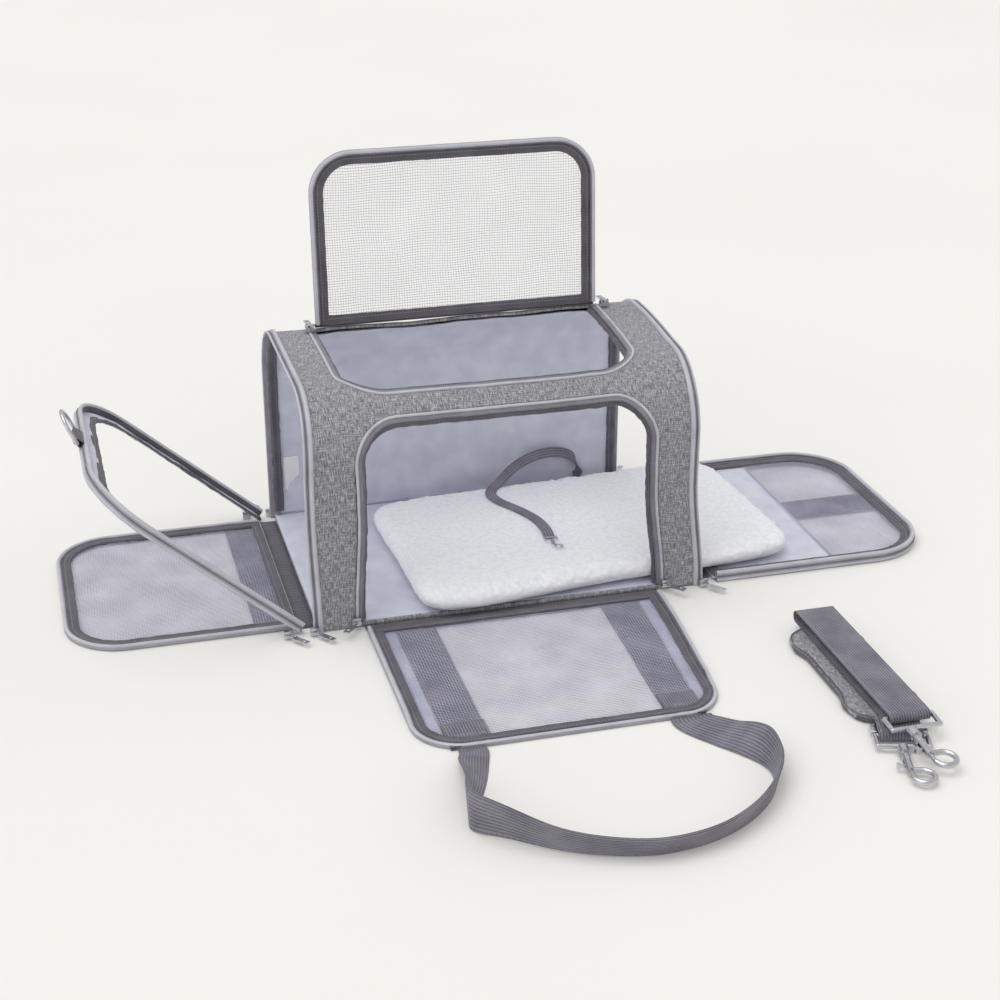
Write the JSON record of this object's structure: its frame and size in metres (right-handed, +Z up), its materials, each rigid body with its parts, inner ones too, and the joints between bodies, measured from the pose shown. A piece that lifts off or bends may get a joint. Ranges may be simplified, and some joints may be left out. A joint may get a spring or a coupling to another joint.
{
  "type": "pet carrier bag",
  "caption": "Soft-sided pet carrier bag opened out flat: arched fabric cabin, netting flaps on all sides, fleece pad, handles and shoulder strap.",
  "frame": {"origin": "on the floor, under the middle of the cabin", "axes": "+X along the bag towards its right end panel, +Y towards its back, +Z up"},
  "size_m": [0.907, 0.7581, 0.4211],
  "materials": {
    "heather": "melange grey woven polyester, matt, fine light and dark flecks",
    "piping": "light lavender-grey woven tape, satin",
    "lining": "pale blue-grey coated lining, soft sheen",
    "binding": "dark grey puckered binding tape, matt",
    "webbing": "purple-grey ribbed nylon webbing",
    "netting": "pale square polyester netting",
    "fleece": "white curly sherpa fleece",
    "chrome": "bright nickel plate",
    "spring_wire": "spring steel wire",
    "board": "dark corrugated plastic sheet",
    "label": "white satin label, blank"
  },
  "bodies": {
    "cabin": {"front_panel": "heather", "roof_panel": "heather", "rear_panel": "heather", "cabin_lining": "lining", "base_cover": "heather", "base_board": "board", "floor_lining": "lining", "rim_piping": "piping", "rim_bindings": "binding", "hoop_wires": "spring_wire", "front_opening_zip": "piping", "front_opening_binding": "binding", "top_opening_zip": "piping", "top_opening_binding": "binding", "hinge_tapes": "binding", "care_label": "label", "rear_webbing": "webbing", "zip_sliders": "chrome", "tether_tape": "webbing", "tether_clip": "chrome"},
    "pad": {"fleece_pad": "fleece"},
    "rear_handle": {"rear_handle": "webbing"},
    "front_flap": {"front_mesh": "netting", "front_flap_zip": "piping", "front_flap_binding": "binding", "front_flap_webbing": "webbing"},
    "front_flap_top": {"front_mesh_top": "netting", "front_flap_zip_top": "piping"},
    "front_handle": {"front_handle": "webbing"},
    "top_flap": {"top_mesh": "netting", "top_flap_zip": "piping", "top_flap_binding": "binding"},
    "left_frame": {"left_frame_gusset": "piping", "left_frame_lining": "lining", "left_frame_binding": "binding", "left_ring_tab": "binding"},
    "left_ring": {"left_d_ring": "chrome"},
    "left_door": {"left_mesh": "netting", "left_door_zip": "piping", "left_door_binding": "binding", "left_door_webbing": "webbing"},
    "right_panel": {"right_mesh": "netting", "right_panel_gusset": "piping", "right_panel_binding": "binding", "right_panel_lining": "lining", "right_panel_webbing": "webbing"},
    "right_ring": {"right_d_ring": "chrome"},
    "front_pulls": {"front_zip_pulls": "chrome"},
    "top_pulls": {"top_zip_pulls": "chrome"},
    "end_front_pulls": {"end_front_zip_pulls": "chrome"},
    "end_rear_pulls": {"end_rear_zip_pulls": "chrome"},
    "shoulder_strap": {"strap_webbing": "webbing", "strap_pad": "heather", "strap_buckle": "chrome", "strap_eyes": "chrome"},
    "left_hook": {"left_snap_hook": "chrome"},
    "left_bolt": {"left_snap_bolt": "chrome"},
    "right_hook": {"right_snap_hook": "chrome"},
    "right_bolt": {"right_snap_bolt": "chrome"}
  },
  "joints": [
    {"name": "top_flap_hinge", "type": "hinge", "parent": "cabin", "child": "top_flap", "pos_m": [0, 0.084, 0.2378], "axis": [1, 0, 0], "range_deg": [-55, 94]},
    {"name": "front_flap_hinge", "type": "hinge", "parent": "cabin", "child": "front_flap", "pos_m": [0, -0.151, 0], "axis": [-1, 0, 0], "range_deg": [0, 90], "deforming": ["fleece_pad"]},
    {"name": "front_flap_bend", "type": "hinge", "parent": "front_flap", "child": "front_flap_top", "pos_m": [0, -0.341, 0], "axis": [-1, 0, 0], "range_deg": [0, 34]},
    {"name": "front_handle_swing", "type": "hinge", "parent": "front_flap_top", "child": "front_handle", "pos_m": [0, -0.3873, 0.0006], "axis": [-1, 0, 0], "range_deg": [-34, 0]},
    {"name": "rear_handle_swing", "type": "hinge", "parent": "cabin", "child": "rear_handle", "pos_m": [0, 0.1439, 0.186], "axis": [1, 0, 0], "range_deg": [0, 120]},
    {"name": "left_frame_hinge", "type": "hinge", "parent": "cabin", "child": "left_frame", "pos_m": [-0.216, 0, 0], "axis": [0, 1, 0], "range_deg": [-38, 49]},
    {"name": "left_ring_swing", "type": "hinge", "parent": "left_frame", "child": "left_ring", "pos_m": [-0.40734, 0, 0.17467], "axis": [0, 1, 0], "range_deg": [-65, 35]},
    {"name": "left_door_hinge", "type": "hinge", "parent": "cabin", "child": "left_door", "pos_m": [-0.216, 0, 0], "axis": [0, 1, 0], "range_deg": [0, 90]},
    {"name": "right_panel_hinge", "type": "hinge", "parent": "cabin", "child": "right_panel", "pos_m": [0.216, 0, 0], "axis": [0, -1, 0], "range_deg": [0, 90], "deforming": ["fleece_pad"]},
    {"name": "pad_swing", "type": "hinge", "parent": "cabin", "child": "pad", "pos_m": [0.2409, 1.7699, 0.0074], "axis": [0, 0, -1], "range_deg": [0, 3.5]},
    {"name": "right_ring_swing", "type": "hinge", "parent": "right_panel", "child": "right_ring", "pos_m": [0.43, 0, 0.002], "axis": [0, 1, 0], "range_deg": [0, 70]},
    {"name": "front_pulls_swing", "type": "hinge", "parent": "cabin", "child": "front_pulls", "pos_m": [0, -0.148, 0.009], "axis": [-1, 0, 0], "range_deg": [0, 75]},
    {"name": "top_pulls_swing", "type": "hinge", "parent": "cabin", "child": "top_pulls", "pos_m": [0, 0.072, 0.2438], "axis": [1, 0, 0], "range_deg": [0, 120]},
    {"name": "end_front_pulls_swing", "type": "hinge", "parent": "cabin", "child": "end_front_pulls", "pos_m": [0, -0.1483, 0.004], "axis": [-1, 0, 0], "range_deg": [0, 75]},
    {"name": "end_rear_pulls_swing", "type": "hinge", "parent": "cabin", "child": "end_rear_pulls", "pos_m": [0, 0.1483, 0.004], "axis": [1, 0, 0], "range_deg": [0, 75]},
    {"name": "shoulder_strap_lift", "type": "slide", "parent": "cabin", "child": "shoulder_strap", "axis": [0, 0, 1], "range_m": [0, 0.3]},
    {"name": "left_hook_swivel", "type": "hinge", "parent": "shoulder_strap", "child": "left_hook", "pos_m": [0.2531, -0.49777, 0.0054], "axis": [-0.2756, -0.9613, 0], "range_deg": [-80, 0]},
    {"name": "left_bolt_slide", "type": "slide", "parent": "left_hook", "child": "left_bolt", "axis": [0.2756, 0.9613, 0], "range_m": [0, 0.0069], "stiffness_N_per_m": 40},
    {"name": "right_hook_swivel", "type": "hinge", "parent": "shoulder_strap", "child": "right_hook", "pos_m": [0.268, -0.48522, 0.01351], "axis": [0, -0.9969, -0.0785], "range_deg": [-80, 0]},
    {"name": "right_bolt_slide", "type": "slide", "parent": "right_hook", "child": "right_bolt", "axis": [0, 0.9969, 0.0785], "range_m": [0, 0.0069], "stiffness_N_per_m": 40}
  ],
  "couplings": [
    {"joint": "front_flap_bend", "follows": "front_flap_hinge", "ratio": 0.3776},
    {"joint": "front_handle_swing", "follows": "front_flap_hinge", "ratio": -0.3776},
    {"joint": "pad_swing", "follows": "right_panel_hinge", "ratio": 0.03888},
    {"joint": "right_ring_swing", "follows": "right_panel_hinge", "ratio": 0.7777},
    {"joint": "left_hook_swivel", "follows": "shoulder_strap_lift", "rad_per_m": -4.65},
    {"joint": "right_hook_swivel", "follows": "shoulder_strap_lift", "rad_per_m": -4.65}
  ]
}
